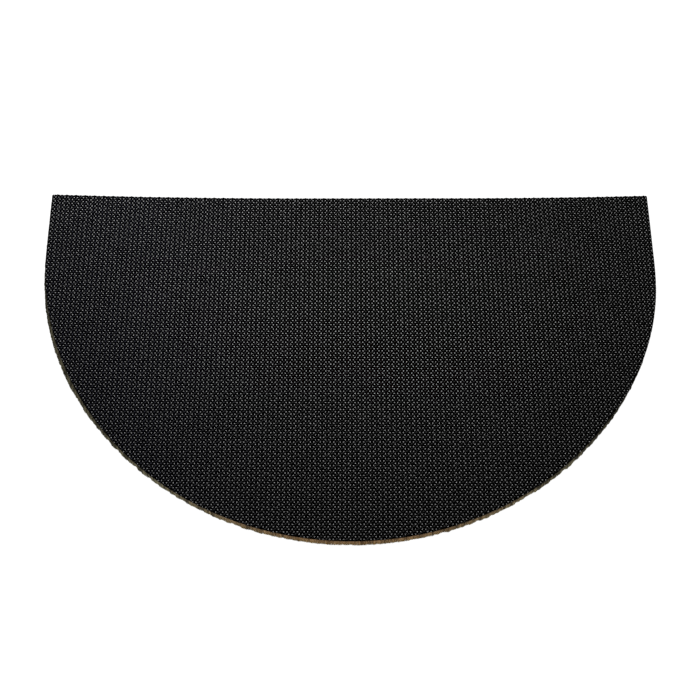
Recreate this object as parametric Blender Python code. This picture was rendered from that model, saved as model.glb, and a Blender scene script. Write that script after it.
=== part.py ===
"""Half-round coir doormat, lying with its pile down and its backing up.

Metres, +Z up, +X along the straight edge, +Y toward the straight edge. The origin is on the
surface that the mat lies on, under the middle of the mat's box.
"""

import math

import bmesh
import bpy

# Driving dimensions
WIDTH = 0.762  # along the straight edge
DEPTH = 0.4572  # from the straight edge to the crown of the curve
SIDE = 0.080  # the straight part of each side, before the curve
THICKNESS = 0.014  # pile and backing together
BACKING_THICKNESS = 0.0022
GAP = 0.0003  # between the two pieces where they touch

# How far the two far corners curl up, and how sharply the curl starts
LEFT_CURL = 0.0103
RIGHT_CURL = 0.0061
LEFT_POWER = 2.3
RIGHT_POWER = 3.2
CURL_REACH = 0.40  # the curl is gone this far in from the straight edge
LEVEL = 0.0003  # what lifts less than this lies flat on the surface

# Bumps along the curve, each its size, the angle of its middle and its half width. Angles run
# along the curve from the left side, at 0 degrees, over the crown, at 90, to the right side.
CUT_IN = (-0.0030, 180, 8)  # the right side is cut a little in from the curve
CUT_OUT = (0.0012, 163, 12)
LEFT_SPLAY = (0.0043, 18, 21)  # the pile's tips splay out past the backing at both sides
RIGHT_SPLAY = (0.0014, 150, 21)
EVEN_SPLAY = 0.0004  # and this much all the way round

# How finely the shapes are made
COLUMNS = 56
ROWS = 10

# Sizes that follow
RADIUS = WIDTH / 2
CURVE_DEPTH = DEPTH - SIDE
PILE_HEIGHT = THICKNESS - BACKING_THICKNESS - GAP
FAR_EDGE = DEPTH / 2
CURVE_START = FAR_EDGE - SIDE

BLACK = (0.012, 0.012, 0.013, 1)
COIR_BROWN = (0.17, 0.105, 0.045, 1)


def falloff(distance):
    """One at the straight edge, and smoothly down to zero at the curl's reach."""
    share = min(max(distance / CURL_REACH, 0), 1)
    return 0.5 * (1 + math.cos(math.pi * share))


def lift(x, y):
    """How far the mat's underside is off the surface at a point of its outline's plane."""
    curl, power = (LEFT_CURL, LEFT_POWER) if x < 0 else (RIGHT_CURL, RIGHT_POWER)
    raised = curl * (abs(x) / RADIUS) ** power * falloff(FAR_EDGE - y)
    return max(raised - LEVEL, 0)


def bump(angle, size, middle, half_width):
    """The height of one soft bump at an angle in degrees along the curve."""
    return size * math.exp(-(((angle - middle) / half_width) ** 2))


def cut(angle):
    """How far the cut strays out from the true curve at an angle along it."""
    return bump(angle, *CUT_IN) + bump(angle, *CUT_OUT)


def splay(angle):
    """How far the pile's tips stand out past the backing at an angle along the curve."""
    return EVEN_SPLAY + bump(angle, *LEFT_SPLAY) + bump(angle, *RIGHT_SPLAY)


def station(column, spread):
    """The near and the far point of one column, with spread, from 0 to 1, of the splay there."""
    angle = 180 * column / COLUMNS
    out = cut(angle) + spread * splay(angle)
    x = -(RADIUS + out) * math.cos(math.radians(angle))
    near = CURVE_START - (CURVE_DEPTH + out) * math.sin(math.radians(angle))
    far = FAR_EDGE + spread * EVEN_SPLAY
    return x, near, far


def layer(bm, height, spread):
    """A grid of points over the whole outline, at one height within the mat."""
    grid = []
    for column in range(COLUMNS + 1):
        x, near, far = station(column, spread)
        line = []
        for row in range(ROWS + 1):
            y = near + (far - near) * row / ROWS
            line.append(bm.verts.new((x, y, lift(x, y) + height)))
        grid.append(line)
    return grid


def cover(bm, grid, up):
    """The faces over one grid, which look up or down."""
    for column in range(COLUMNS):
        for row in range(ROWS):
            a = grid[column][row]
            b = grid[column + 1][row]
            c = grid[column + 1][row + 1]
            d = grid[column][row + 1]
            bm.faces.new((a, b, c, d) if up else (d, c, b, a))


def rim_loop(grid):
    """The points round a grid's edge, anticlockwise from above."""
    near = [line[0] for line in grid]
    right = grid[-1][1:]
    far = [line[-1] for line in reversed(grid[:-1])]
    left = list(reversed(grid[0][1:-1]))
    return near + right + far + left


def wall(bm, lower, upper):
    """The side faces between the edges of two grids."""
    low = rim_loop(lower)
    high = rim_loop(upper)
    for i in range(len(low)):
        k = (i + 1) % len(low)
        bm.faces.new((low[i], low[k], high[k], high[i]))


def slab(name, bottom, top, spread, colour, roughness, parent):
    """One closed piece from a bottom to a top height, with its bottom let out by spread."""
    bm = bmesh.new()
    lower = layer(bm, bottom, spread)
    upper = layer(bm, top, 0)
    cover(bm, lower, up=False)
    cover(bm, upper, up=True)
    wall(bm, lower, upper)
    mesh = bpy.data.meshes.new(name)
    bm.to_mesh(mesh)
    bm.free()
    mesh.shade_smooth()
    mesh.set_sharp_from_angle(angle=math.radians(35))
    mesh.materials.append(material(name, colour, roughness))
    piece = bpy.data.objects.new(name, mesh)
    bpy.context.scene.collection.objects.link(piece)
    piece.parent = parent
    return piece


def material(name, colour, roughness):
    """A plain material with a colour and a roughness."""
    made = bpy.data.materials.new(name)
    made.use_nodes = True
    shader = made.node_tree.nodes["Principled BSDF"]
    shader.inputs["Base Color"].default_value = colour
    shader.inputs["Roughness"].default_value = roughness
    shader.inputs["Metallic"].default_value = 0
    return made


def box_middle():
    """The middle of the pile's box in X and Y, from the ends of its splayed outline."""
    ends = [station(column, 1) for column in range(COLUMNS + 1)]
    x = (min(e[0] for e in ends) + max(e[0] for e in ends)) / 2
    y = (min(e[1] for e in ends) + max(e[2] for e in ends)) / 2
    return x, y


def clear_scene():
    """Remove what the scene holds at the start."""
    for thing in list(bpy.data.objects):
        bpy.data.objects.remove(thing, do_unlink=True)


def make_coir_pile(parent):
    """The brush of coir, whose tips rest on the surface and splay out past the backing."""
    return slab("coir_pile", 0, PILE_HEIGHT, 1, COIR_BROWN, 0.95, parent)


def make_backing(parent):
    """The black sheet on top, the same outline as the pile's upper face."""
    bottom = PILE_HEIGHT + GAP
    return slab("backing", bottom, THICKNESS, 0, BLACK, 0.55, parent)


def main():
    clear_scene()
    doormat = bpy.data.objects.new("doormat", None)
    bpy.context.scene.collection.objects.link(doormat)
    x, y = box_middle()
    doormat.location = (-x, -y, 0)
    make_coir_pile(doormat)
    make_backing(doormat)
    bpy.context.view_layer.update()


main()
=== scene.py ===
"""The looks of the half-round coir doormat: its black embossed backing, which lies upward, and the
coir pile under it. Metres, +Z up, in the frame of the solids."""

import math

import bpy
import numpy as np
from mathutils import Matrix, Vector


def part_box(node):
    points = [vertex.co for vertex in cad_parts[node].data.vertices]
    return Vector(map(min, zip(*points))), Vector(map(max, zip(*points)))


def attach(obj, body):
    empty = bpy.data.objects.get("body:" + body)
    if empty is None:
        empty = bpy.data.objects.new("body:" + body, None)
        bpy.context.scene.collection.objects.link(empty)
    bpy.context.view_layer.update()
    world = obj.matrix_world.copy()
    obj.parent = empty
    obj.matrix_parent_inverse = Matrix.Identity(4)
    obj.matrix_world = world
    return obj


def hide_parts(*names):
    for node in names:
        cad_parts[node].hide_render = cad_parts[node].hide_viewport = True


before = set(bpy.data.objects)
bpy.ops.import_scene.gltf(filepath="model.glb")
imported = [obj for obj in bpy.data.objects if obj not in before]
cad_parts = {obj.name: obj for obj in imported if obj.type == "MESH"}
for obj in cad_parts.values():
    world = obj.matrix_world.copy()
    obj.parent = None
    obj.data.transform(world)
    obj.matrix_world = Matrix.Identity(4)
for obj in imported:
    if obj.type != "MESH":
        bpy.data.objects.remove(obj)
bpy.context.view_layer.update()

# The solids' places, from the frame
BACKING_LOW, BACKING_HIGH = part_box("backing")
DEPTH = BACKING_HIGH.y - BACKING_LOW.y
SHEET_LOW = BACKING_LOW.z

# The outline and the curl of the far corners, as in the solids
WIDTH = 0.762  # along the straight edge
SIDE = 0.080  # the straight part of each side
THICKNESS = 0.014  # pile and backing together
GAP = 0.0003  # between the two solids
LEFT_CURL = 0.0103  # how far each corner rises
RIGHT_CURL = 0.0061
LEFT_POWER = 2.3  # how sharply each curl starts
RIGHT_POWER = 3.2
CURL_REACH = 0.40  # the curls are gone this far in from the straight edge
LEVEL = 0.0003  # what lifts less than this lies flat

# Bumps along the curve, each its size, the angle of its middle and its half width
CUT_IN = (-0.0030, 180, 8)  # the cut strays in at the right side
CUT_OUT = (0.0012, 163, 12)  # and out before it
LEFT_SPLAY = (0.0043, 18, 21)  # the pile's tips stand out past the backing at both sides
RIGHT_SPLAY = (0.0014, 150, 21)
EVEN_SPLAY = 0.0004  # and this much all the way round

# Two things that the solids don't have: the far corners are rounded, and from the first pair of
# angles to the second the sheet reaches out over the pile's splay at the right
CORNER = 0.0014
COVER_START = (138, 152)
COVER_END = (156, 172)

# Sizes that follow
RADIUS = WIDTH / 2
CURVE_DEPTH = DEPTH - SIDE
FAR_EDGE = DEPTH / 2
CURVE_START = FAR_EDGE - SIDE
PILE_HEIGHT = SHEET_LOW - GAP

# The middle of the outline, on the surface
MIDDLE = Vector((BACKING_LOW.x + RADIUS, BACKING_HIGH.y - FAR_EDGE, 0))

# The embossing: low ridges cross in diamonds, and each diamond holds two nubs side by side
CELL = 0.0117  # from crossing to crossing along a row
ROW_PITCH = 0.00297
ROW_COUNT = int(DEPTH / ROW_PITCH) + 2  # enough to pass the crown
FIRST_ROW = 0.0009  # from the straight edge to the first row, which the cut runs through
FAR_MARGIN = 0.0008  # nubs and pads keep their middles this far inside the straight edge
MARGIN_ANGLES = (0, 20, 130, 180)  # and at these angles this far inside the curve
MARGINS = (0.0008, -0.0002, -0.0002, 0.0006)
NUB_OFFSET = CELL / 3  # from a crossing to the nubs at its left and right
NUB_STRAY = 0.00003
NUB_RISE = 0.0006
NUB_RADIUS = 0.0012
NUB_LOBES = (1.5, 0.66)  # a nub is three-cornered, with these shares of its radius by turns
NUB_RINGS = ((1.0, -0.1), (0.52, 0.94))  # shares of its radius and rise, of its foot and flat top
NUB_SIZES = (0.985, 1.03)  # of the nubs at the left and right of a crossing
PAD_SHIFT = 0.0006  # the pads lie this much farther from the viewer than the nubs
PAD_RISE = 0.0003
PAD_RADIUS = 0.0012
PAD_LOBES = (1.22, 0.84)
PAD_RINGS = ((1.0, 0.0),)
DOME_SPREAD = 0.03  # how much nubs and pads differ in size
DOME_LIMITS = (0.9, 1.1)  # and the least and most of it in height
RIDGE_SHIFT = 0.0003  # the ridges lie this much farther from the viewer than the nubs
RIDGE_RISE = 0.00025
RIDGE_SINK = 0.00005  # their feet lie this deep in the sheet
RIDGE_SPREAD = 0.08  # how much their crests differ in height
RIDGE_PAST = 0.002  # they start and end this far past the edge, and are drawn back onto it
WIDE_RIDGE = 0.0015
NARROW_RIDGE = 0.0009

# The sheet under the embossing, whose underside rises to a thin lip at the edge
SHEET_TOP = THICKNESS - NUB_RISE
SHEET_GRID = (200, 40)  # columns and rows
LIP_DEPTH = 0.0014
LIP_RISE = 0.0010
EDGE_BREAK = 0.00015  # the upper edge is broken by this much

# The straight edge, cut through a row, swells a little over its crossings and over its nubs
SWELL_CELL = 0.00021  # the swell that comes once to a cell
SWELL_HALF = 0.00050  # and the one that comes twice
SWELL_STEPS = 12  # points to a cell
SWELL_ROOT = 0.0006  # the swells start this far inside the edge
SWELL_LIFT = 0.00002  # and this much over the sheet

# The pile's dark heart and the tufts of its underside
CORE_GRID = (160, 40)
CORE_INSET = 0.0007  # the heart stays this far inside the rim
CORE_BOTTOM = 0.0012
CORE_SHADE = 0.1  # its place between its two colours
TIP_PITCH = 0.0019
TIP_STRAY = 0.6  # as a share of the pitch
TIP_MARGIN = 0.0012  # tufts keep this far inside the edge
TIP_RADIUS = 0.00056
TIP_WIDTHS = (0.7, 1.3)
TIP_ROOT = 0.0004  # they start this deep in the heart
TIP_LEAN = 0.0005  # how far their points stray to the side
TIP_UNEVEN = 0.0008  # and end up to this much over the surface

# The fibres of the rim
RIM_PITCH = 0.0005
RIM_INSETS = (-0.0001, 0.0003, 0.0008)  # how far inside the cut edge each row stands
FIBRE_RADIUS = 0.00024
FIBRE_WIDTHS = (0.75, 1.25)
ROOT_STRAY = 0.00008
BEND_STRAY = 0.00015
BEND_HEIGHTS = (0.35, 0.6)  # they bend at this share of the pile's height
END_STRAY = 0.00010
END_UNEVEN = 0.0003  # and end up to this much over the surface

# How uneven the rim is, by the angle along the curve
CROWN = (90, 20)  # it is even round this angle, by this half width
ROUGH_START = (8, 50)  # and at its left end, and grows uneven between these angles
ROUGH_END = (125, 154)  # and even again between these
FAR_ROUGH = 0.25  # the straight edge is this much as uneven
CLUMP = (0.00018, 0.00044)  # how far its tufts stray out or in, where it is even and uneven
CLUMP_LENGTH = 7  # and over how many fibres
PATCH = (0.14, 0.65)  # how much its tone strays, where it is even and uneven
PATCH_LENGTH = 5
PATCH_LIMITS = (0.45, 1.8)  # the least and most of it
FLARE = (0.00025, 84, 30)  # a bump, by which its tips spread more round the crown

# How warm the rim is, and its painted light and shade, by the angle along the curve
WARM_START = (50, 86)  # it turns from olive to brown between these angles
WARM_END = (92, 136)  # and back
# Painted light: the rim is painted lighter round this angle
GLOW = (0.28, 112, 12)  # a bump, by which it is lighter
# Painted shade: the rim is painted darker at both ends and over the whole left
DARK_START = (6, 22)  # it is darker at the left, up to these angles
DARK_END = (127, 147)  # and at the right, from these on
END_SHADE = 0.72  # by this share
LEFT_END = (36, 66)  # the whole left is darker as well, up to these
LEFT_SHADE = 0.48  # by this share
# Painted shade: the straight edge takes the darker tone of this angle, against the lamps behind it
FAR_TONE = 56  # the straight edge has the tone of this angle
RIM_LIGHT = 1.06
# Painted shadow: the backing's shadow on the rim is painted into its fibres' light
SHADOW_START = (90, 126)  # the backing's shadow on it deepens between these angles
SHADOW_END = (144, 156)  # and is gone again
TOP_LIGHT = (0.78, 0.28)  # its light under the backing, without and with that shadow
MIDDLE_LIGHT = (1.15, 0.8)  # and at the bend of its fibres

# The coir's browns: of the rim under the backing and at the surface, of the darkest and lightest
# fibre, and of stains
# Painted light: the rim's high colours are lighter than its low ones, to offset the floor's light
# on the fibres' lower part
RIM_HIGH = (0.34, 0.215, 0.11)
RIM_LOW = (0.165, 0.105, 0.009)
OLIVE_HIGH = (0.20, 0.185, 0.125)
OLIVE_LOW = (0.15, 0.14, 0.064)
HIGH_FROM = 0.75  # the share of a fibre's height from which the high colours are full
RIM_SHADES = ((0.62, 0.58, 0.52), (1.3, 1.3, 1.3))
CORE_COLOURS = ((0.07, 0.048, 0.026), (0.16, 0.11, 0.06))
TIP_COLOURS = ((0.12, 0.08, 0.038), (0.38, 0.26, 0.14))
STAIN = (60, 4)  # a noise's scale and detail
STAIN_PLACES = (0.3, 0.7)
STAIN_COLOUR = (0.75, 0.72, 0.70)

# The tones of the black: of nubs' flanks and tops, and of ridges and pads from foot to top
# Painted shade: the flanks, the ridges' feet and the ground are the rubber's black made near zero,
# for the shade in the hollows between the nubs
FLANK_TONES = (0.0003, 0.0008)
# Painted highlight: the nubs' tops are painted this grey over the same black rubber as their flanks
NUB_LIGHT = 0.055
CAP_TONES = (0.9 * NUB_LIGHT, 1.1 * NUB_LIGHT)
RAISED_FROM = 0.1  # the share of a ridge's or pad's height up to which it is dark
RAISED_TONES = (0.85, 1.0)
RIDGE_DARK = 0.0003
# Painted light: the wide ridges are painted twice as light as the narrow ones, for the light that
# falls on them from the back left
RIDGE_LIGHT = 0.0006
# Painted highlight: the pads' tops are painted this light over the black rubber
PAD_LIGHT = 0.024

# Marks on the black, each a noise's scale and detail, its tones and the places where they are full
# The first is the ground's whole colour: dust in broad patches over a black made near zero as
# painted shade
DUST_AND_SHADE = (9, 3, (0.0003, 0.0007), (0.3, 0.7))
SCUFFS = (1100, 2, (0.8, 1.0), (0.35, 0.6))
WEAR = (14, 2, (0.7, 1.0), (0.32, 0.45))

# Fine grains, each a noise's scale and detail, the range of roughness that it gives, and the
# strength and depth of its relief
GROUND_GRAIN = (900, 2, (0.45, 0.65), 0.5, 0.0002)
FLANK_GRAIN = (900, 2, (0.6, 0.8), 0.3, 0.00005)
CAP_GRAIN = (1500, 2, (0.32, 0.48), 0.2, 0.00005)
RAISED_GRAIN = (1500, 2, (0.30, 0.42), 0.2, 0.00005)
FIBRE_GRAIN = (2500, 3, (0.75, 1.0), 0.6, 0.0003)

# How much each surface gleams
MATT = 0.0
CAP_GLEAM = 0.5
RIDGE_GLEAM = 0.015
PAD_GLEAM = 0.01
FIBRE_GLEAM = 0.05

# The black is a shade bluer toward the left, its ground and flanks more than its tops, which carry
# a painted highlight
COOL_REACH = (-0.26, -0.06)
COOL_GROUND = (1.0, 1.0, 1.45)
COOL_TOPS = (1.0, 1.0, 1.055)

# The studio, with each lamp's place, target, width and height, power and colour
ROOM_LIGHT = 0.6
KEY_LAMP = ((0.03, 0.71, 1.20), (0, 0.05, 0), (0.96, 0.62), 32, (1, 1, 1))
SIDE_LAMP = ((-0.7, 1.4, 0.9), (0, 0, 0), (0.5, 0.5), 29, (0.97, 0.985, 1.0))
WHITE = (1, 1, 1, 1)
FLOOR_SIZE = 4000
FLOOR_DROP = 0.0001  # the floor lies this much under the mat
FLOOR_COLOUR = (0.06, 0.06, 0.06, 1)
FLOOR_ROUGHNESS = 0.9
FLOOR_GLEAM = 0.1
FLOOR_LIGHT = 1.0

# The camera, as the photograph was taken
VIEW_ELEVATION = math.radians(64.05)
VIEW_TURN = math.radians(0.3)
VIEW_ROLL = math.radians(0.2)
VIEW_DISTANCE = 1.6360
VIEW_TARGET = Vector((-0.0020, 0.0121, THICKNESS))
SENSOR = 36.0  # in millimetres, as the lens
LENS = 69.43


# Shapes of the mat

def bump(angle, size, middle, half_width):
    """The height of one soft bump at angles in degrees along the curve."""
    return size * np.exp(-(((angle - middle) / half_width) ** 2))


def ease(value, start, end):
    """A smooth step from 0 at the start to 1 at the end."""
    share = np.clip((value - start) / (end - start), 0, 1)
    return share * share * (3 - 2 * share)


def between(share, pair):
    """The values from the first of a pair to the second."""
    return pair[0] + share * (pair[1] - pair[0])


def covered(angle):
    """How much of the pile's splay at the right the sheet reaches out over."""
    share = ease(angle, *COVER_START) * (1 - ease(angle, *COVER_END))
    return bump(angle, *RIGHT_SPLAY) * share


def cut(angle):
    """How far the cut strays out from the true curve."""
    return bump(angle, *CUT_IN) + bump(angle, *CUT_OUT) + covered(angle)


def splay(angle):
    """How far the pile's tips stand out past the backing."""
    return EVEN_SPLAY + bump(angle, *LEFT_SPLAY) + bump(angle, *RIGHT_SPLAY) - covered(angle)


def lift(x, y):
    """How far the curl lifts the mat at points of its plane."""
    curl = np.where(x < 0, LEFT_CURL, RIGHT_CURL)
    power = np.where(x < 0, LEFT_POWER, RIGHT_POWER)
    share = np.clip((FAR_EDGE - y) / CURL_REACH, 0, 1)
    falloff = 0.5 * (1 + np.cos(math.pi * share))
    return np.maximum(curl * (np.abs(x) / RADIUS) ** power * falloff - LEVEL, 0)


def curve(angle, out):
    """Points on the near curve, let out by a distance."""
    turn = np.radians(angle)
    x = -(RADIUS + out) * np.cos(turn)
    y = CURVE_START - (CURVE_DEPTH + out) * np.sin(turn)
    return x, y


def corner_drop(side):
    """How far the straight edge drops back round a corner, at distances in from the side."""
    short = np.clip(CORNER - side, 0, CORNER)
    return CORNER - np.sqrt(CORNER ** 2 - short ** 2)


def grid(columns, rows, spread, inset):
    """Points over the outline in columns from side to side and rows from near to far."""
    angle = 180 * np.arange(columns + 1) / columns
    x, near = curve(angle, cut(angle) + spread * splay(angle) - inset)
    far = FAR_EDGE + spread * EVEN_SPLAY - inset - corner_drop(np.minimum(x - x[0], x[-1] - x))
    share = np.arange(rows + 1) / rows
    y = near[:, None] + (far - near)[:, None] * share
    return np.repeat(x[:, None], rows + 1, axis=1), y


def angle_of(x, y):
    """The angle of points round the curve's middle, from 0 at the left to 180 at the right."""
    return np.degrees(np.arctan2(np.maximum(CURVE_START - y, 0), -x))


def stray(x, y):
    """Where points lie against the outline: 1 on it, less within and more outside."""
    limit = 1 + cut(angle_of(x, y)) / RADIUS
    down = np.maximum(CURVE_START - y, 0) / CURVE_DEPTH
    return np.hypot(x / RADIUS, down) / limit


def within(x, y, near, far):
    """Which points lie inside the curve and the straight edge by at least these margins."""
    return (stray(x, y) < 1 - near / RADIUS) & (y < FAR_EDGE - far)


def clamp(x, y):
    """The points, with those outside the cut edge drawn back onto it."""
    out = np.maximum(stray(x, y), 1)
    near = y < CURVE_START
    side = RADIUS + cut(angle_of(x, y)) - np.abs(x / out)
    far = np.minimum(y, FAR_EDGE - corner_drop(side))
    y = np.where(near, CURVE_START + (y - CURVE_START) / out, far)
    return x / out, y


# Making pieces

def make_piece(name, points, faces, material):
    """A smooth mesh piece from arrays of points and of faces with equal numbers of sides."""
    mesh = bpy.data.meshes.new(name)
    mesh.vertices.add(len(points))
    mesh.vertices.foreach_set("co", (points + np.array(MIDDLE)).astype(np.float32).ravel())
    mesh.loops.add(faces.size)
    mesh.loops.foreach_set("vertex_index", faces.astype(np.int32).ravel())
    mesh.polygons.add(len(faces))
    starts = np.arange(0, faces.size, faces.shape[1], dtype=np.int32)
    mesh.polygons.foreach_set("loop_start", starts)
    mesh.update(calc_edges=True)
    mesh.shade_smooth()
    mesh.materials.append(material)
    piece = bpy.data.objects.new(name, mesh)
    bpy.context.scene.collection.objects.link(piece)
    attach(piece, "root")
    return piece


def add_values(piece, name, values):
    """A number for each point of a piece, which its material reads."""
    layer = piece.data.attributes.new(name, "FLOAT", "POINT")
    layer.data.foreach_set("value", values.astype(np.float32).ravel())


def copies(faces, size, count):
    """The faces of a small shape with a size in points, repeated for a count of such shapes."""
    return (faces[None] + size * np.arange(count)[:, None, None]).reshape(-1, 3)


def thirds(count, random):
    """Three angles round a circle, turned at random for each of a count of circles."""
    turn = random.uniform(0, 2 * math.pi, count)
    return turn[:, None] + np.arange(3) * 2 * math.pi / 3


def cover(indices, up):
    """Quads over a grid of point indices."""
    a = indices[:-1, :-1]
    b = indices[1:, :-1]
    c = indices[1:, 1:]
    d = indices[:-1, 1:]
    quads = np.stack([a, b, c, d], axis=-1).reshape(-1, 4)
    return quads if up else quads[:, ::-1]


def rim(indices):
    """The indices round a grid's edge, anticlockwise from above."""
    near = indices[:, 0]
    right = indices[-1, 1:]
    far = indices[-2::-1, -1]
    left = indices[0, -2:0:-1]
    return np.concatenate([near, right, far, left])


def band(lower, upper):
    """Quads between two rings of the same count."""
    return np.stack([lower, np.roll(lower, -1), np.roll(upper, -1), upper], axis=-1)


def used_only(points, faces):
    """The points that a face uses, and the faces over them."""
    used, faces_now = np.unique(faces, return_inverse=True)
    return points[used], faces_now.reshape(faces.shape)


def slab(name, columns, rows, levels, material):
    """A closed slab from levels, each a height, a share of the splay and an inset."""
    points = []
    rings = []
    faces = []
    for height, spread, inset in levels:
        x, y = grid(columns, rows, spread, inset)
        start = sum(len(p) for p in points)
        z = lift(x, y) + height
        indices = start + np.arange(x.size).reshape(x.shape)
        points.append(np.stack([x, y, z], axis=-1).reshape(-1, 3))
        rings.append(rim(indices))
        if len(rings) == 1:
            faces.append(cover(indices, up=False))
        if len(rings) == len(levels):
            faces.append(cover(indices, up=True))
    for lower, upper in zip(rings, rings[1:]):
        faces.append(band(lower, upper))
    points, faces = used_only(np.concatenate(points), np.concatenate(faces))
    return make_piece(name, points, faces, material)


# Materials

def new_material(name):
    """An empty node material, its nodes, its links and its shader."""
    material = bpy.data.materials.new(name)
    material.use_nodes = True
    nodes = material.node_tree.nodes
    return material, nodes, material.node_tree.links, nodes["Principled BSDF"]


def noise(nodes, links, scale, detail):
    """A noise in the object's own coordinates, from 0 to 1."""
    place = nodes.new("ShaderNodeTexCoord")
    texture = nodes.new("ShaderNodeTexNoise")
    texture.inputs["Scale"].default_value = scale
    texture.inputs["Detail"].default_value = detail
    links.new(place.outputs["Object"], texture.inputs["Vector"])
    return texture.outputs["Fac"]


def value_of(nodes, name):
    """The output of a piece's own numbers."""
    read = nodes.new("ShaderNodeAttribute")
    read.attribute_name = name
    return read.outputs["Fac"]


def grey(value):
    """A neutral grey."""
    return (value, value, value)


def ramp(nodes, links, source, colours, places=(0.0, 1.0)):
    """A ramp over a source, with two colours that are full at two places."""
    made = nodes.new("ShaderNodeValToRGB")
    links.new(source, made.inputs["Fac"])
    for element, place, colour in zip(made.color_ramp.elements, places, colours):
        element.position = place
        element.color = (*colour, 1)
    return made.outputs["Color"]


def greys(nodes, links, source, tones, places=(0.0, 1.0)):
    """A ramp over a source, with two greys that are full at two places."""
    return ramp(nodes, links, source, [grey(tone) for tone in tones], places)


def marks(nodes, links, scale, detail, tones, places):
    """A ramp of greys over a noise."""
    return greys(nodes, links, noise(nodes, links, scale, detail), tones, places)


def mix(nodes, links, kind, first, second):
    """A full mix of two colours, each an output."""
    made = nodes.new("ShaderNodeMix")
    made.data_type = "RGBA"
    made.blend_type = kind
    made.inputs["Factor"].default_value = 1.0
    links.new(first, made.inputs["A"])
    links.new(second, made.inputs["B"])
    return made.outputs["Result"]


def remap(nodes, links, source, low, high):
    """A source from 0 to 1, spread from low to high."""
    made = nodes.new("ShaderNodeMapRange")
    made.inputs["To Min"].default_value = low
    made.inputs["To Max"].default_value = high
    links.new(source, made.inputs["Value"])
    return made.outputs["Result"]


def cooled(nodes, links, colour, tint):
    """A colour with a tint that grows toward the mat's left."""
    place = nodes.new("ShaderNodeTexCoord")
    split = nodes.new("ShaderNodeSeparateXYZ")
    links.new(place.outputs["Object"], split.inputs["Vector"])
    share = nodes.new("ShaderNodeMapRange")
    share.inputs["From Min"].default_value = COOL_REACH[0]
    share.inputs["From Max"].default_value = COOL_REACH[1]
    links.new(split.outputs["X"], share.inputs["Value"])
    shades = ramp(nodes, links, share.outputs["Result"], (tint, grey(1.0)))
    return mix(nodes, links, "MULTIPLY", colour, shades)


def add_grain(nodes, links, shader, grain, gleam):
    """A surface's fine grain, with its roughness and its relief, and how much it gleams."""
    scale, detail, roughness, strength, depth = grain
    source = noise(nodes, links, scale, detail)
    links.new(remap(nodes, links, source, *roughness), shader.inputs["Roughness"])
    shader.inputs["Specular IOR Level"].default_value = gleam
    relief = nodes.new("ShaderNodeBump")
    relief.inputs["Strength"].default_value = strength
    relief.inputs["Distance"].default_value = depth
    links.new(source, relief.inputs["Height"])
    links.new(relief.outputs["Normal"], shader.inputs["Normal"])


def sheet_material():
    """The black ground between the nubs, a little dusty in broad patches."""
    material, nodes, links, shader = new_material("black_ground")
    # Painted shade under the dust: the ground's black is made near zero for the shade between the
    # nubs
    colour = marks(nodes, links, *DUST_AND_SHADE)
    links.new(cooled(nodes, links, colour, COOL_GROUND), shader.inputs["Base Color"])
    add_grain(nodes, links, shader, GROUND_GRAIN, MATT)
    return material


def flank_material():
    """The nubs' flanks, matt and black."""
    material, nodes, links, shader = new_material("black_flanks")
    # Painted shade: the flanks are near-zero black, against the tops' painted highlight
    colour = greys(nodes, links, value_of(nodes, "shade"), FLANK_TONES)
    links.new(cooled(nodes, links, colour, COOL_GROUND), shader.inputs["Base Color"])
    add_grain(nodes, links, shader, FLANK_GRAIN, MATT)
    return material


def cap_material():
    """The nubs' tops: a grey painted highlight over the black rubber, scuffed, each a little
    different, with a dull gleam.
    """
    material, nodes, links, shader = new_material("scuffed_caps_painted_highlight")
    colour = greys(nodes, links, value_of(nodes, "shade"), CAP_TONES)
    for mark in (SCUFFS, WEAR):
        colour = mix(nodes, links, "MULTIPLY", colour, marks(nodes, links, *mark))
    links.new(cooled(nodes, links, colour, COOL_TOPS), shader.inputs["Base Color"])
    add_grain(nodes, links, shader, CAP_GRAIN, CAP_GLEAM)
    return material


def raised_material(name, light, full, gleam):
    """A ridge or pad on the sheet, black at its foot. From a share of its height, full, it has all
    its light:
    a lighter top and a darker foot, painted as light and shade."""
    material, nodes, links, shader = new_material(name)
    top = greys(nodes, links, value_of(nodes, "height"), (RIDGE_DARK, light), (RAISED_FROM, full))
    tone = greys(nodes, links, value_of(nodes, "shade"), RAISED_TONES)
    colour = mix(nodes, links, "MULTIPLY", top, tone)
    links.new(cooled(nodes, links, colour, COOL_GROUND), shader.inputs["Base Color"])
    add_grain(nodes, links, shader, RAISED_GRAIN, gleam)
    return material


def coir_material(name, colours):
    """Cut coconut fibre, each fibre its own brown between two, with stains."""
    material, nodes, links, shader = new_material(name)
    fibre = ramp(nodes, links, value_of(nodes, "shade"), colours)
    patches = noise(nodes, links, *STAIN)
    stains = ramp(nodes, links, patches, (STAIN_COLOUR, grey(1.0)), STAIN_PLACES)
    links.new(mix(nodes, links, "MULTIPLY", fibre, stains), shader.inputs["Base Color"])
    add_grain(nodes, links, shader, FIBRE_GRAIN, FIBRE_GLEAM)
    return material


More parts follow.
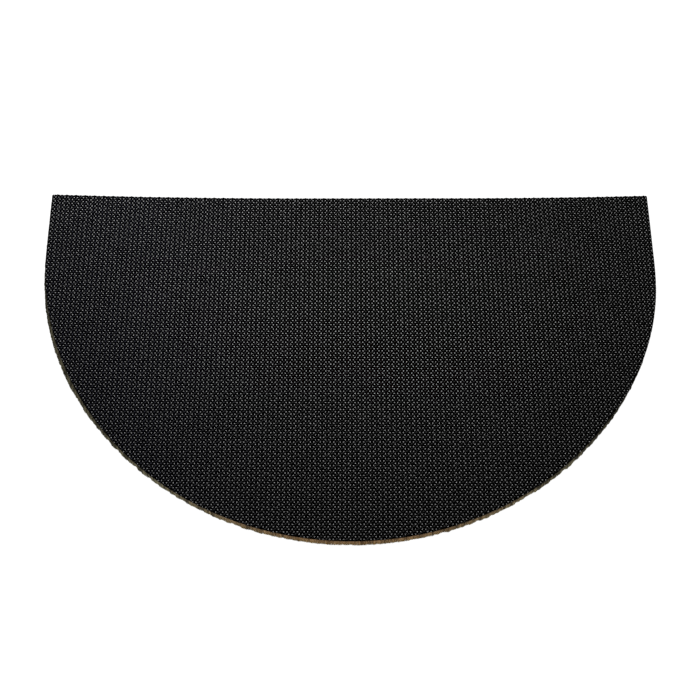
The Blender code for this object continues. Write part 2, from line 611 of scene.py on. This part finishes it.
def rim_material():
    """The rim's fibre, greyer under the backing, browner below, and olive where it isn't warm."""
    material, nodes, links, shader = new_material("coir_rim")
    height = value_of(nodes, "height")
    # Painted light: lighter under the backing, darker toward the surface
    brown = ramp(nodes, links, height, (RIM_LOW, RIM_HIGH), (0.0, HIGH_FROM))
    olive = ramp(nodes, links, height, (OLIVE_LOW, OLIVE_HIGH), (0.0, HIGH_FROM))
    colour = mix(nodes, links, "MIX", olive, brown)
    links.new(value_of(nodes, "warmth"), colour.node.inputs["Factor"])
    # The rim's painted light and shade
    light = greys(nodes, links, value_of(nodes, "light"), (0.0, 1 + GLOW[0]))
    each = ramp(nodes, links, value_of(nodes, "shade"), RIM_SHADES)
    for tone in (light, each):
        colour = mix(nodes, links, "MULTIPLY", colour, tone)
    links.new(colour, shader.inputs["Base Color"])
    add_grain(nodes, links, shader, FIBRE_GRAIN, FIBRE_GLEAM)
    return material


# The backing

def make_sheet(material):
    """The black sheet under its embossing, with a thin lip round its edge."""
    levels = (
        (SHEET_LOW, 0, LIP_DEPTH),
        (SHEET_LOW + LIP_RISE, 0, 0),
        (SHEET_TOP - EDGE_BREAK, 0, 0),
        (SHEET_TOP, 0, EDGE_BREAK),
    )
    return slab("backing_sheet", *SHEET_GRID, levels, material)


def make_far_lip(material):
    """The swells along the straight edge, a strip as thick as the lip."""
    x = np.arange(-RADIUS + CELL / 2, RADIUS - CELL / 2, CELL / SWELL_STEPS)
    turn = 2 * math.pi * x / CELL
    outer = FAR_EDGE + SWELL_CELL * np.cos(turn) + SWELL_HALF * np.cos(2 * turn)
    inner = np.full(len(x), FAR_EDGE - SWELL_ROOT)
    low = SHEET_LOW + LIP_RISE
    high = SHEET_TOP + SWELL_LIFT
    rows = ((inner, low), (outer, low), (outer, high), (inner, high))
    points = np.stack([np.column_stack([x, y, lift(x, y) + z]) for y, z in rows], axis=1)
    first = 4 * np.arange(len(x) - 1)
    sides = []
    for here in (first, first + 1, first + 2):
        sides.append(np.stack([here, here + 4, here + 5, here + 1], axis=-1))
    return make_piece("far_lip", points.reshape(-1, 3), np.concatenate(sides), material)


def crossings():
    """Every place where ridges cross, in rows from the straight edge to beyond the crown."""
    across = int(RADIUS / CELL) + 2
    row, number = np.mgrid[0:ROW_COUNT, -across:across + 1]
    x = (number + 0.5 * (row % 2)) * CELL
    y = FAR_EDGE - FIRST_ROW - row * ROW_PITCH
    return x.ravel(), y.ravel()


def bare_edge(x, y):
    """How wide the edge stays bare of nubs beside points of the plane."""
    return np.interp(angle_of(x, y), MARGIN_ANGLES, MARGINS)


def dome_faces(rings):
    """The faces of one dome of six sides and a number of rings, from its foot to its middle."""
    here = np.arange(6)
    after = (here + 1) % 6
    faces = []
    for low in range(0, 6 * (rings - 1), 6):
        faces.append(np.stack([here + low, after + low, after + low + 6], axis=-1))
        faces.append(np.stack([here + low, after + low + 6, here + low + 6], axis=-1))
    apex = 6 * rings
    faces.append(np.stack([here + apex - 6, after + apex - 6, np.full(6, apex)], axis=-1))
    return np.concatenate(faces)


def make_domes(name, x, y, radius, rise, lobes, rings, point, materials, random):
    """Domes of six sides over the sheet, joined in one piece. The rings are a share of the radius
    and of the rise, and their corners by turns a share more, the lobes; a dome points to the side
    of the angle in point. The last material is for the faces inside the last ring."""
    count = len(x)
    size = radius * random.normal(1, DOME_SPREAD, count)
    tall = rise * random.normal(1, DOME_SPREAD, count).clip(*DOME_LIMITS)
    here = np.arange(6)
    corner = point[:, None] + here * math.pi / 3
    lobe = np.where(here % 2 == 0, *lobes)
    px = [x[:, None] + size[:, None] * share * lobe * np.cos(corner) for share, _ in rings]
    py = [y[:, None] + size[:, None] * share * lobe * np.sin(corner) for share, _ in rings]
    px = np.concatenate([*px, x[:, None]], axis=1)
    py = np.concatenate([*py, y[:, None]], axis=1)
    high = np.array([high for _, high in rings for _ in here] + [1.0])
    px, py = clamp(px, py)
    pz = lift(px, py) + SHEET_TOP + tall[:, None] * high
    points = np.stack([px, py, pz], axis=-1).reshape(-1, 3)
    dome = dome_faces(len(rings))
    piece = make_piece(name, points, copies(dome, len(high), count), materials[0])
    if len(materials) > 1:
        piece.data.materials.append(materials[1])
        top = np.repeat([0, 1], [len(dome) - 6, 6])
        piece.data.polygons.foreach_set("material_index", np.tile(top, count).astype(np.int32))
        piece.data.polygons.foreach_set("use_smooth", np.tile(top == 0, count))
    add_values(piece, "height", np.tile(np.clip(high, 0, 1), count))
    add_values(piece, "shade", np.repeat(random.uniform(0, 1, count), len(high)))
    return piece


def make_nubs(name, x, y, materials, random):
    """The tall nubs beside some crossings, each pointing at its crossing."""
    nub_x = np.concatenate([x - NUB_OFFSET, x + NUB_OFFSET])
    nub_y = np.concatenate([y, y])
    point = np.repeat([0, math.pi], len(x))
    nub_x = nub_x + random.normal(0, NUB_STRAY, len(nub_x))
    nub_y = nub_y + random.normal(0, NUB_STRAY, len(nub_y))
    keep = within(nub_x, nub_y, bare_edge(nub_x, nub_y), FAR_MARGIN)
    radius = NUB_RADIUS * np.repeat(NUB_SIZES, len(x))[keep]
    return make_domes(name, nub_x[keep], nub_y[keep], radius, NUB_RISE, NUB_LOBES, NUB_RINGS,
                      point[keep], materials, random)


def make_pads(x, y, material, random):
    """The low pads on the crossings."""
    y = y + PAD_SHIFT
    keep = within(x, y, bare_edge(x, y), FAR_MARGIN)
    point = np.zeros(np.count_nonzero(keep))
    return make_domes("crossing_pads", x[keep], y[keep], PAD_RADIUS, PAD_RISE, PAD_LOBES, PAD_RINGS,
                      point, (material,), random)


def ridge_points(x, y, way, width, random):
    """The points of one ridge along a line, by turns one foot, the crest and the other foot."""
    crest = np.tile([0, RIDGE_RISE, 0], len(x)) * random.normal(1, RIDGE_SPREAD, 3 * len(x))
    half = np.tile([-0.5, 0, 0.5], len(x)) * width
    px, py = clamp(np.repeat(x, 3) - half * way.y, np.repeat(y, 3) + half * way.x)
    return np.stack([px, py, lift(px, py) + SHEET_TOP - RIDGE_SINK + crest], axis=-1)


def make_ridges(name, slope, width, material, random):
    """The ridges that run one way from edge to edge, each a low strip with its crest."""
    reach = int(RADIUS / CELL + ROW_COUNT / 2) + 2
    step = np.arange(-1, ROW_COUNT + 0.5, 0.5)
    way = Vector((slope * CELL / 2, -ROW_PITCH, 0)).normalized()
    points = []
    faces = []
    total = 0
    for start in range(-reach, reach + 1):
        x = (start + slope * step / 2) * CELL
        y = FAR_EDGE - FIRST_ROW + RIDGE_SHIFT - step * ROW_PITCH
        inside = np.flatnonzero(within(x, y, -RIDGE_PAST, -RIDGE_PAST))
        if len(inside) < 2:
            continue
        stretch = slice(inside[0], inside[-1] + 1)
        points.append(ridge_points(x[stretch], y[stretch], way, width, random))
        first = total + 3 * np.arange(inside[-1] - inside[0])
        for here in (first, first + 1):
            faces.append(np.stack([here, here + 1, here + 4, here + 3], axis=-1))
        total += len(points[-1])
    piece = make_piece(name, np.concatenate(points), np.concatenate(faces)[:, ::-1], material)
    piece.data.shade_flat()
    add_values(piece, "height", np.tile([0, 1, 0], total // 3))
    add_values(piece, "shade", random.uniform(0, 1, total))
    return piece


def make_embossing():
    """The nubs in two halves, the crossing ridges and the pads where they cross."""
    random = np.random.default_rng(11)
    x, y = crossings()
    left = x < 0
    nub_colours = (flank_material(), cap_material())
    wide_colour = raised_material("dull_wide_ridges", RIDGE_LIGHT, 1.0, RIDGE_GLEAM)
    narrow_colour = raised_material("dull_narrow_ridges", RIDGE_DARK, 1.0, MATT)
    pad_colour = raised_material("dull_pads", PAD_LIGHT, 0.9, PAD_GLEAM)
    return [
        make_nubs("nubs_left", x[left], y[left], nub_colours, random),
        make_nubs("nubs_right", x[~left], y[~left], nub_colours, random),
        make_ridges("ridges_wide", -1, WIDE_RIDGE, wide_colour, random),
        make_ridges("ridges_narrow", 1, NARROW_RIDGE, narrow_colour, random),
        make_pads(x, y, pad_colour, random),
    ]


# The coir pile

def make_core(material):
    """The heart of the pile, seen only between its fibres."""
    levels = (
        (CORE_BOTTOM, 1.0, CORE_INSET),
        (PILE_HEIGHT, 0, CORE_INSET),
    )
    core = slab("coir_core", *CORE_GRID, levels, material)
    add_values(core, "shade", np.full(len(core.data.vertices), CORE_SHADE))
    return core


def places(x, y, out_x, out_y, spread, tone):
    """Places along one stretch of the edge: the point, the way out, the splay and the tone."""
    return np.column_stack(np.broadcast_arrays(x, y, out_x, out_y, spread, tone))


def walk_curve(pitch):
    """Places along the near curve, one pitch apart."""
    angle = np.linspace(0, 180, 20001)  # fine enough to measure the curve by
    x, y = curve(angle, cut(angle))
    steps = np.hypot(np.diff(x), np.diff(y))
    along = np.concatenate([[0], np.cumsum(steps)])
    at = np.interp(np.arange(0, along[-1], pitch), along, angle)
    turn = np.radians(at)
    return places(*curve(at, cut(at)), -np.cos(turn), -np.sin(turn), splay(at), at)


def rim_walk(pitch):
    """Places along the whole cut edge. The tone is an angle along the curve."""
    stretches = [walk_curve(pitch)]
    ends = []
    side_y = np.arange(CURVE_START, FAR_EDGE - CORNER, pitch)
    turn = np.arange(0, math.pi / 2, pitch / CORNER)
    out_y = np.sin(turn)
    for angle, way in ((0, -1), (180, 1)):
        end = curve(angle, cut(angle))[0]
        ends.append(end)
        stretches.append(places(end, side_y, way, 0, splay(angle), angle))
        out_x = way * np.cos(turn)
        round_x = end - way * CORNER + CORNER * out_x
        round_y = FAR_EDGE - CORNER + CORNER * out_y
        round_splay = between(out_y, (splay(angle), EVEN_SPLAY))
        stretches.append(places(round_x, round_y, out_x, out_y, round_splay, angle))
    far_x = np.arange(ends[0] + CORNER, ends[1] - CORNER, pitch)
    stretches.append(places(far_x, FAR_EDGE, 0, 1, EVEN_SPLAY, FAR_TONE))
    return np.concatenate(stretches)


def rim_rows():
    """The places of the rim's fibres in all their rows, with the height of each one's top."""
    walk = rim_walk(RIM_PITCH)
    rows = []
    for inset in RIM_INSETS:
        top = np.full(len(walk), PILE_HEIGHT + LIP_RISE * (1 - inset / LIP_DEPTH))
        row = np.column_stack([walk, top])
        row[:, :2] -= row[:, 2:4] * inset
        rows.append(row)
    return np.concatenate(rows)


def make_fibres(name, joints, radius, material, random):
    """Three-sided fibres through a list of joints, joined in one piece."""
    count = len(joints[0])
    corner = thirds(count, random)
    ring = np.stack([np.cos(corner), np.sin(corner), 0 * corner], axis=-1)
    wide = random.uniform(*FIBRE_WIDTHS, count)[:, None, None]
    rings = [joint[:, None] + ring * wide * radius for joint in joints]
    points = np.concatenate(rings, axis=1).reshape(-1, 3)
    here = np.arange(3)
    after = (here + 1) % 3
    first = np.stack([here, here + 3, after + 3], axis=-1)
    second = np.stack([here, after + 3, after], axis=-1)
    end = 3 * (len(joints) - 1)
    strand = [side + low for low in range(0, end, 3) for side in (first, second)]
    strand.append(np.array([[end, end + 2, end + 1]]))
    size = 3 * len(joints)
    piece = make_piece(name, points, copies(np.concatenate(strand), size, count), material)
    add_values(piece, "shade", np.repeat(random.uniform(0, 1, count), size))
    add_values(piece, "height", np.tile(np.repeat(np.linspace(1, 0, len(joints)), 3), count))
    return piece


def clumps(count, length, random):
    """A gentle unevenness along the rim, with a spread of about one."""
    wide = np.hanning(2 * length + 1)
    rough = np.convolve(random.normal(0, 1, count + 2 * length), wide, "valid")
    return rough / np.sqrt(np.sum(wide ** 2))


def rim_clumps(rough, length, strays, random):
    """The same unevenness in every row of the rim, from the even to the uneven of two strays."""
    rows = len(RIM_INSETS)
    along = np.tile(clumps(len(rough) // rows, length, random), rows)
    return along * between(rough, strays)


def roughness(angle, out_y):
    """How uneven the rim is at its places, from 0 to 1."""
    rough = 1 - bump(angle, 1, *CROWN)
    rough = rough * ease(angle, *ROUGH_START) * (1 - ease(angle, *ROUGH_END))
    return np.where(out_y > 0.5, FAR_ROUGH, rough)


def make_rim(material):
    """The fibres along the cut edge, from the backing down to the surface."""
    random = np.random.default_rng(23)
    rows = rim_rows()
    count = len(rows)
    way = rows[:, 2:4]
    angle = rows[:, 5]
    root = rows[:, :2] + random.normal(0, ROOT_STRAY, (count, 2))
    rough = roughness(angle, way[:, 1])
    tufts = rim_clumps(rough, CLUMP_LENGTH, CLUMP, random)
    patches = rim_clumps(rough, PATCH_LENGTH, PATCH, random)
    out = rows[:, 4:5] + (bump(angle, *FLARE) + tufts)[:, None]
    bend = root + way * (0.5 * out + random.normal(0, BEND_STRAY, (count, 1)))
    end = root + way * out + random.normal(0, END_STRAY, (count, 2))
    floor = lift(root[:, 0], root[:, 1])
    joints = (
        np.column_stack([root, floor + rows[:, 6]]),
        np.column_stack([bend, floor + PILE_HEIGHT * random.uniform(*BEND_HEIGHTS, count)]),
        np.column_stack([end, floor + random.uniform(0, END_UNEVEN, count)]),
    )
    piece = make_fibres("coir_rim", joints, FIBRE_RADIUS, material, random)
    add_rim_light(piece, angle, patches)
    return piece


def add_rim_light(piece, angle, patches):
    """How warm each fibre of the rim is, and how light as painted light and shade, at its three
    joints of three corners.
    """
    warmth = ease(angle, *WARM_START) * (1 - ease(angle, *WARM_END))
    light = 1 - LEFT_SHADE * (1 - ease(angle, *LEFT_END))
    light = light * (1 - END_SHADE * (1 - ease(angle, *DARK_START)))
    light = light * (1 - END_SHADE * ease(angle, *DARK_END))
    light = light * (1 + bump(angle, *GLOW)) / (1 + GLOW[0])
    light = light * (1 + patches).clip(*PATCH_LIMITS) * RIM_LIGHT
    shadow = ease(angle, *SHADOW_START) * (1 - ease(angle, *SHADOW_END))
    joints = [light * between(shadow, TOP_LIGHT), light * between(shadow, MIDDLE_LIGHT), light]
    add_values(piece, "warmth", np.repeat(warmth, 3 * len(joints)))
    add_values(piece, "light", np.repeat(np.stack(joints, axis=-1), 3, axis=1))


def make_tips(name, left, material, random):
    """Cut tufts over one half of the pile's underside, each a small cone that points down."""
    across = np.arange(-RADIUS, RADIUS, TIP_PITCH)
    along = np.arange(-DEPTH / 2, FAR_EDGE, TIP_PITCH)
    x, y = np.meshgrid(across, along)
    x = x.ravel() + random.uniform(-TIP_STRAY, TIP_STRAY, x.size) * TIP_PITCH
    y = y.ravel() + random.uniform(-TIP_STRAY, TIP_STRAY, y.size) * TIP_PITCH
    keep = within(x, y, TIP_MARGIN, TIP_MARGIN) & ((x < 0) == left)
    x = x[keep]
    y = y[keep]
    count = len(x)
    base = lift(x, y)
    lean = random.normal(0, TIP_LEAN, (count, 2))
    corner = thirds(count, random)
    wide = TIP_RADIUS * random.uniform(*TIP_WIDTHS, count)[:, None]
    ring_x = x[:, None] + wide * np.cos(corner)
    ring_y = y[:, None] + wide * np.sin(corner)
    ring_z = np.repeat((base + CORE_BOTTOM + TIP_ROOT)[:, None], 3, axis=1)
    ring = np.stack([ring_x, ring_y, ring_z], axis=-1)
    end_z = base + random.uniform(0, TIP_UNEVEN, count)
    end = np.column_stack([x + lean[:, 0], y + lean[:, 1], end_z])
    points = np.concatenate([ring, end[:, None]], axis=1).reshape(-1, 3)
    sides = np.array([[0, 3, 1], [1, 3, 2], [2, 3, 0]])
    piece = make_piece(name, points, copies(sides, 4, count), material)
    add_values(piece, "shade", np.repeat(random.uniform(0, 1, count), 4))
    return piece


def make_pile():
    """The pile: its core, its rim and the tips of its underside."""
    random = np.random.default_rng(37)
    core = make_core(coir_material("coir_core", CORE_COLOURS))
    colour = coir_material("coir_fibre", TIP_COLOURS)
    rest = [
        make_rim(rim_material()),
        make_tips("coir_tips_left", True, colour, random),
        make_tips("coir_tips_right", False, colour, random),
    ]
    return core, rest


# The studio

def make_floor():
    """A plain floor that glows white, so that shadows hardly show on it."""
    bpy.ops.mesh.primitive_plane_add(size=FLOOR_SIZE, location=(0, 0, -FLOOR_DROP))
    floor = bpy.context.object
    floor.name = "floor"
    material, _, _, shader = new_material("floor_white")
    shader.inputs["Base Color"].default_value = FLOOR_COLOUR
    shader.inputs["Roughness"].default_value = FLOOR_ROUGHNESS
    shader.inputs["Specular IOR Level"].default_value = FLOOR_GLEAM
    shader.inputs["Emission Color"].default_value = WHITE
    shader.inputs["Emission Strength"].default_value = FLOOR_LIGHT
    floor.data.materials.append(material)


def make_light(name, place, target, size, power, colour):
    """One soft oblong lamp at a place, facing a target, with a width and height."""
    lamp = bpy.data.lights.new(name, "AREA")
    lamp.shape = "RECTANGLE"
    lamp.size, lamp.size_y = size
    lamp.energy = power
    lamp.color = colour
    thing = bpy.data.objects.new(name, lamp)
    thing.location = place
    thing.rotation_euler = (Vector(target) - Vector(place)).to_track_quat("-Z", "Y").to_euler()
    bpy.context.scene.collection.objects.link(thing)


def make_studio():
    """An even bright room, with a wide soft lamp high behind the mat and one at its far left."""
    world = bpy.data.worlds.new("room")
    bpy.context.scene.world = world
    world.use_nodes = True
    background = world.node_tree.nodes["Background"]
    background.inputs["Color"].default_value = WHITE
    background.inputs["Strength"].default_value = ROOM_LIGHT
    make_light("key", *KEY_LAMP)
    make_light("side", *SIDE_LAMP)
    bpy.context.scene.view_settings.view_transform = "Standard"


def make_camera():
    """The camera, at the photograph's viewing angle."""
    data = bpy.data.cameras.new("camera")
    data.sensor_width = SENSOR
    data.lens = LENS
    camera = bpy.data.objects.new("camera", data)
    bpy.context.scene.collection.objects.link(camera)
    level = math.cos(VIEW_ELEVATION)
    down = math.sin(VIEW_ELEVATION)
    ahead = Vector((math.sin(VIEW_TURN) * level, math.cos(VIEW_TURN) * level, -down))
    right = Vector((math.cos(VIEW_TURN), -math.sin(VIEW_TURN), 0))
    up = right.cross(ahead)
    turned = Matrix((right, up, -ahead)).transposed() @ Matrix.Rotation(VIEW_ROLL, 3, "Z")
    place = MIDDLE + VIEW_TARGET - ahead * VIEW_DISTANCE
    camera.matrix_world = Matrix.Translation(place) @ turned.to_4x4()
    bpy.context.scene.camera = camera


def main():
    """The mat's pieces, with the solids they stand for hidden, then the studio and the camera."""
    ground = sheet_material()
    sheet = make_sheet(ground)
    raised = [make_far_lip(ground), *make_embossing()]
    core, rest = make_pile()
    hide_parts("backing")
    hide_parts("coir_pile")
    make_floor()
    make_studio()
    make_camera()


main()
